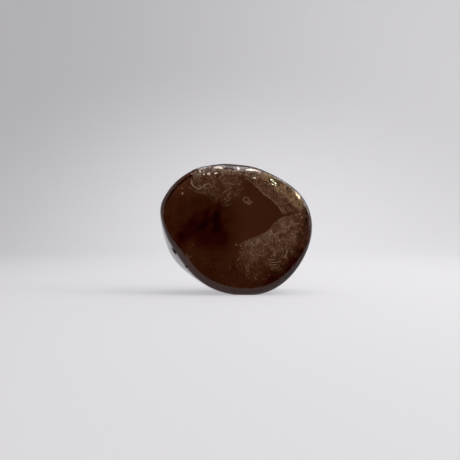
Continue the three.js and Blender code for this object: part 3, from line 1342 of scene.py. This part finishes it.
    def flakes(self, sheets: dict) -> list:
        """Glints near the rim, and flakes scattered over some of the sheets.

        Args:
            sheets: the sheets by name.

        Returns:
            Pairs of flakes and finish.
        """
        pale = FlakeMatter("pale_flake", (1.0, 0.86, 0.7), (0.75, 0.54, 0.38))
        brown = FlakeMatter("brown_flake", (0.8, 0.56, 0.38), (0.5, 0.3, 0.2))
        gold = FlakeMatter("gold_flake", (1.0, 0.88, 0.62), (0.85, 0.62, 0.36), 0.4)
        mirror = FlakeMatter("mirror_flake", (1.0, 0.96, 0.78), (1.0, 0.88, 0.55), 0.2, metallic=1.0)
        silver = FlakeMatter("silver_glint", (1.0, 0.98, 0.94), (0.9, 0.84, 0.76), 0.08, metallic=1.0)
        yellow = FlakeMatter("golden_glint", (1.0, 0.95, 0.74), (1.0, 0.86, 0.55), 0.08, metallic=1.0)
        bright = VeilSheet(
            "bright_patch", ((4.75, 7.0), (5.2, 6.9), (5.85, 6.3)), ((4.9, 6.2), (5.3, 5.9), (5.75, 5.75)),
            (0.22, 0.22), rise=0.05, fall=0.9, tail=0.9, wave=0.0,
        )
        usual, glints = (0.06, 0.13), self.glints
        pairs = [
            (Flakes("bright_flakes", bright, 60, (0.1, 0.24), 33, lift=0.12, lean=-43.0, swing=25.0,
                    tilt=4.0), mirror),
            (glints("top_glints", 26, 35, (0.04, 0.08), (-3.6, 7.65, 0.95, 0.12, 0.12, 0.2)), silver),
            (glints("corner_glints", 9, 36, (0.05, 0.09), (-4.9, 8.1, 0.45, 0.3, 0.0, 0.2)), silver),
            (glints("upper_glints", 12, 41, (0.03, 0.055), (2.3, 7.08, 0.22, 0.12, 0.0, 0.2)), silver),
            (glints("lone_glint", 3, 38, usual, (6.03, 5.32, 0.12, 0.12, 0.0, 0.2)), yellow),
            (glints("rim_glints", 20, 39, usual, (8.3, 4.5, 0.3, 0.25, -1.5, 0.3), -30.0, 2.0), yellow),
            (glints("left_glint", 2, 40, (0.03, 0.05), (-7.4, 5.0, 0.05, 0.1, 0.0, 0.2)), silver),
        ]
        for name, sheet, count, size, seed, matter in (
            ("lower_right_flakes", "lower_right_veil", 1500, (0.03, 0.09), 12, pale),
            ("upper_left_flakes", "upper_left_veil", 520, (0.03, 0.09), 22, pale),
            ("golden_flakes", "golden_rim_veil", 420, (0.04, 0.14), 32, gold),
            ("band_flakes", "fracture_band", 260, (0.03, 0.08), 42, brown),
            ("top_flakes", "top_haze", 420, (0.03, 0.12), 52, pale),
            ("low_flakes", "low_cloud", 60, (0.03, 0.08), 72, brown),
        ):
            pairs.append((Flakes(name, sheets[sheet], count, size, seed), matter))
        return pairs

    def rim(self) -> list:
        """The silvery flaws under the top bevel, and the black spindles of painted shade in the pit and
        the nick.

        Returns:
            Pairs of form and finish.
        """
        silver = FlakeMatter("silver_flaw", (1.0, 0.99, 0.97), (0.96, 0.95, 0.93), 0.2, metallic=1.0)
        grey = FlakeMatter("grey_flaw", (0.85, 0.8, 0.84), (0.07, 0.05, 0.05), 0.4, metallic=1.0,
                           tone_scale=5200.0)
        # Painted shade: near-black matter for the spindles that darken the pit and the nick.
        black = FlakeMatter("painted_black_shade", (0.012, 0.01, 0.011), (0.004, 0.004, 0.004), 0.5)
        low, steep = 38.0, 42.0
        pit, nick = self.hollows
        return [
            (RimFlaw("left_flaw", 110.6, 103.0, (-0.2, -0.35, -0.15), (0.3, 0.42, 0.35), 94.0, low, 81),
             silver),
            (RimFlaw("middle_flaw", 89.4, 87.3, (-0.1, -0.1, -0.1), (0.45, 0.5, 0.4), 84.0, steep, 83),
             silver),
            (RimFlaw("right_flaw", 81.8, 67.6, (-0.15, -0.35, -0.5), (0.3, 0.3, 0.25), 77.7, low, 82),
             silver),
            (RimFlaw("cloudy_flaw", 124.0, 112.4, (0.3, 0.0, -0.2), (0.55, 0.8, 0.8), 108.0, steep, 84),
             grey),
            (PitShade("pit_shade", pit), black),
            (PitShade("nick_shade", nick), black),
        ]

    def build(self, offset: Array) -> list:
        """Builds and dresses every inclusion.

        Args:
            offset: the outline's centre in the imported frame, in metres.

        Returns:
            The finished pieces.
        """
        flakes = self.flakes({sheet.name: sheet for sheet, _ in self.veils})
        return [
            make_mesh(form.name, form.shape(), finish.material(), offset, flat=isinstance(form, Flakes))
            for form, finish in (*self.veils, *flakes, *self.threads, *self.specks, *self.rim())
        ]


# ---- studio ----


@dataclass(frozen=True)
class SoftLamp:
    """What all soft lamps share: a name, a radiance in W/(sr m2) and a colour."""

    name: str
    radiance: float
    colour: Colour

    def lamp(self, place: Vector, size: tuple) -> Object:
        """A rectangular lamp that faces down and that the camera doesn't see.

        Args:
            place: its middle, in metres.
            size: its width and its length, in metres.

        Returns:
            The lamp object.
        """
        data = bpy.data.lights.new(self.name, "AREA")
        data.shape = "RECTANGLE"
        data.size, data.size_y = size
        data.energy = self.radiance * math.pi * data.size * data.size_y
        data.color = self.colour
        lamp = bpy.data.objects.new(self.name, data)
        lamp.location = place
        lamp.visible_camera = False
        bpy.context.scene.collection.objects.link(lamp)
        return lamp


@dataclass(frozen=True)
class Softbox(SoftLamp):
    """A large soft lamp that faces the stone, with its longer side from front to back, in metres."""

    place: tuple
    size: tuple

    def build(self, centre: Array) -> None:
        """Makes the lamp, turned towards the stone.

        Args:
            centre: the outline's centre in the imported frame, in metres.
        """
        lamp = self.lamp(Vector(self.place), self.size)
        facing = Vector(centre) - Vector(self.place)
        lamp.rotation_euler = facing.to_track_quat("-Z", "Y").to_euler()


@dataclass(frozen=True)
class StripLamp(SoftLamp):
    """A long soft lamp overhead that runs from front to back and lights reflections only.

    It spans two azimuths as seen from the stone in degrees; its other sizes are in metres.
    """

    azimuths: tuple
    front: float
    back: float
    height: float

    def build(self, centre: Array) -> None:
        """Makes the lamp over the stone.

        Args:
            centre: the outline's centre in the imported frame, in metres.
        """
        right, left = (self.height / math.tan(math.radians(azimuth)) for azimuth in self.azimuths)
        middle = ((left + right) / 2.0, (self.front + self.back) / 2.0, self.height)
        lamp = self.lamp(Vector(centre) + Vector(middle), (right - left, self.back - self.front))
        lamp.visible_diffuse = lamp.visible_transmission = False


@dataclass(frozen=True)
class BlackCard:
    """A black card or net that only mirror reflections see: a rectangle, sizes in metres.

    Its corners are counted from the low one along the first, then along the second of its axes.
    Its share is the part of the light that it holds back: 1 for a card, less for a net.
    """

    name: str
    low: tuple
    high: tuple
    axes: tuple
    share: float = 1.0

    def build(self) -> Object:
        """Makes the card, which counts only from its front side.

        Returns:
            The finished card.
        """
        finish = Finish(self.name)
        black = finish.add("ShaderNodeBsdfDiffuse", {"Color": (0.004, 0.004, 0.004, 1.0)})
        clear = finish.add("ShaderNodeBsdfTransparent", {})
        side = finish.add("ShaderNodeNewGeometry", {})
        gaps = finish.math("MAXIMUM", side.outputs["Backfacing"], 1.0 - self.share)
        shaders = {"Fac": gaps, 1: black.outputs["BSDF"], 2: clear.outputs["BSDF"]}
        mix = finish.add("ShaderNodeMixShader", shaders)
        low, sides = np.array(self.low), np.diag(np.subtract(self.high, self.low))
        first, second = sides[list(self.axes)]
        corners = np.array([low, low + first, low + first + second, low + second])
        sheet = Shape(corners / MM, np.array([[0, 1, 2, 3]]))
        card = make_mesh(self.name, sheet, finish.close(Surface=mix.outputs["Shader"]))
        card.visible_camera = card.visible_diffuse = card.visible_transmission = False
        card.visible_volume_scatter = card.visible_shadow = False
        return card


@dataclass(frozen=True)
class Studio:
    """A pale seamless bowl, soft strip lamps and black cards, sizes in metres."""

    floor_radius: float = 0.13
    cove_radius: float = 0.10
    wall_height: float = 0.30
    hub_radius: float = 0.0005
    floor_rings: int = 40
    cove_rings: int = 24
    around: int = 180
    sky_strength: float = 0.3
    sky_colour: Colour = (0.98, 0.985, 1.0)
    paper_colour: Colour = (0.40, 0.396, 0.406)
    # The paper's emission is painted light: glow_left to glow_right makes a glow that is brighter to the
    # right, and glow_pool makes a pool of light low behind the stone.
    glow_colour: Colour = (0.99, 0.975, 1.0)
    glow_left: float = 0.155
    glow_right: float = 0.34
    glow_reach: float = 0.11
    glow_pool: float = 0.22
    pool_centre: tuple = (-0.005, 0.145, 0.0)
    pool_radii: tuple = (0.132, 0.53, 0.09)
    lamps: tuple = (
        Softbox("overhead_softbox", 1.6, (1.0, 0.995, 0.98), (0.05, -0.01, 0.27), (0.16, 0.26)),
        Softbox("right_softbox", 2.6, (1.0, 0.99, 0.97), (0.17, -0.03, 0.12), (0.12, 0.22)),
        StripLamp("top_strip", 2.2, (1.0, 1.0, 1.0), (84.0, 92.0), -0.19, 0.05, 0.26),
        StripLamp("left_strip", 2.4, (0.97, 0.97, 1.0), (97.0, 107.5), -0.19, 0.1, 0.26),
    )
    cards: tuple = (
        BlackCard("floor_card", (-0.09, -0.11, 0.0001), (0.11, -0.0105, 0.0001), (0, 1)),
        BlackCard("near_net", (-0.04, -0.0105, 0.0001), (0.04, 0.003, 0.0001), (0, 1), 0.4),
        BlackCard("camera_card", (-0.06, -0.11, 0.0), (0.06, -0.11, 0.055), (2, 0)),
        BlackCard("right_card", (0.11, -0.15, 0.0), (0.11, -0.062, 0.045), (2, 1)),
        BlackCard("upper_left_card", (-0.21, -0.22, 0.2), (-0.075, 0.02, 0.2), (1, 0)),
        BlackCard("back_card", (-0.14, 0.16, 0.03), (-0.02, 0.16, 0.15), (0, 2)),
    )

    def bowl(self) -> Object:
        """Floor, quarter-round cove and wall: a profile turned about the vertical axis.

        Returns:
            The finished bowl.
        """
        turn = np.linspace(0.0, np.pi / 2.0, self.cove_rings + 1)[1:]
        floor = np.linspace(self.hub_radius, self.floor_radius, self.floor_rings)
        edge = self.floor_radius + self.cove_radius
        radii = np.concatenate([floor, self.floor_radius + self.cove_radius * np.sin(turn), [edge]])
        cove = self.cove_radius * (1.0 - np.cos(turn))
        heights = np.concatenate([np.zeros_like(floor), cove, [self.wall_height]])
        angle = np.arange(self.around) * 2.0 * np.pi / self.around
        points = np.stack([
            radii[:, None] * np.cos(angle), radii[:, None] * np.sin(angle),
            heights[:, None] + np.zeros_like(angle),
        ], axis=-1).reshape(-1, 3)
        shape = Shape(points / MM, grid_faces(len(radii), self.around, wrap=True))
        return make_mesh("paper_bowl", shape, self.paper())

    def paper(self) -> Material:
        """Matt pale grey paper with painted light in its emission: a glow that grows brighter to the
        right, and a painted pool of light low behind the stone.

        Returns:
            The material.
        """
        finish = Finish("paper_with_painted_glow")
        reach = self.glow_reach
        # Painted light: emission that grows from left to right, plus a painted pool of light behind the
        # stone.
        painted_side_glow = finish.ramp(finish.axis("X"), -reach, reach, self.glow_left, self.glow_right)
        distance = finish.oval(self.pool_centre, self.pool_radii)
        pool = finish.ramp(distance, 0.0, 1.0, self.glow_pool, 0.0)
        shader = finish.add("ShaderNodeBsdfPrincipled", {
            "Base Color": (*self.paper_colour, 1.0), "Roughness": 0.9, "Specular IOR Level": 0.2,
            "Emission Color": (*self.glow_colour, 1.0),
            "Emission Strength": finish.math("ADD", painted_side_glow, pool),
        })
        return finish.close(Surface=shader.outputs["BSDF"])

    def build(self, centre: Array) -> None:
        """Builds the bowl, the lamps, the cards and the sky over the bowl.

        Args:
            centre: the outline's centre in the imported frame, in metres.
        """
        self.bowl()
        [card.build() for card in self.cards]
        for lamp in self.lamps:
            lamp.build(centre)
        world = bpy.data.worlds.new("soft_daylight")
        world.use_nodes = True
        background = world.node_tree.nodes["Background"]
        background.inputs["Color"].default_value = (*self.sky_colour, 1.0)
        background.inputs["Strength"].default_value = self.sky_strength
        bpy.context.scene.world = world
        bpy.context.scene.view_settings.view_transform = "Standard"


def main() -> None:
    """Builds the stone and the studio in order, and reports each piece."""
    logging.basicConfig(level=logging.INFO, format="%(name)s: %(message)s")
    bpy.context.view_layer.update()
    body = CrystalBody()
    centre = body.offset()
    Camera().build(centre)
    stone = body.build()
    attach(stone, "root")
    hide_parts(CRYSTAL)
    log.info("%s: %d faces", stone.name, len(stone.data.polygons))
    for piece in Inclusions(body.hollows).build(centre):
        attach(piece, "root")
        log.info("%s: %d faces", piece.name, len(piece.data.polygons))
    Studio().build(centre)


if __name__ == "__main__":
    main()
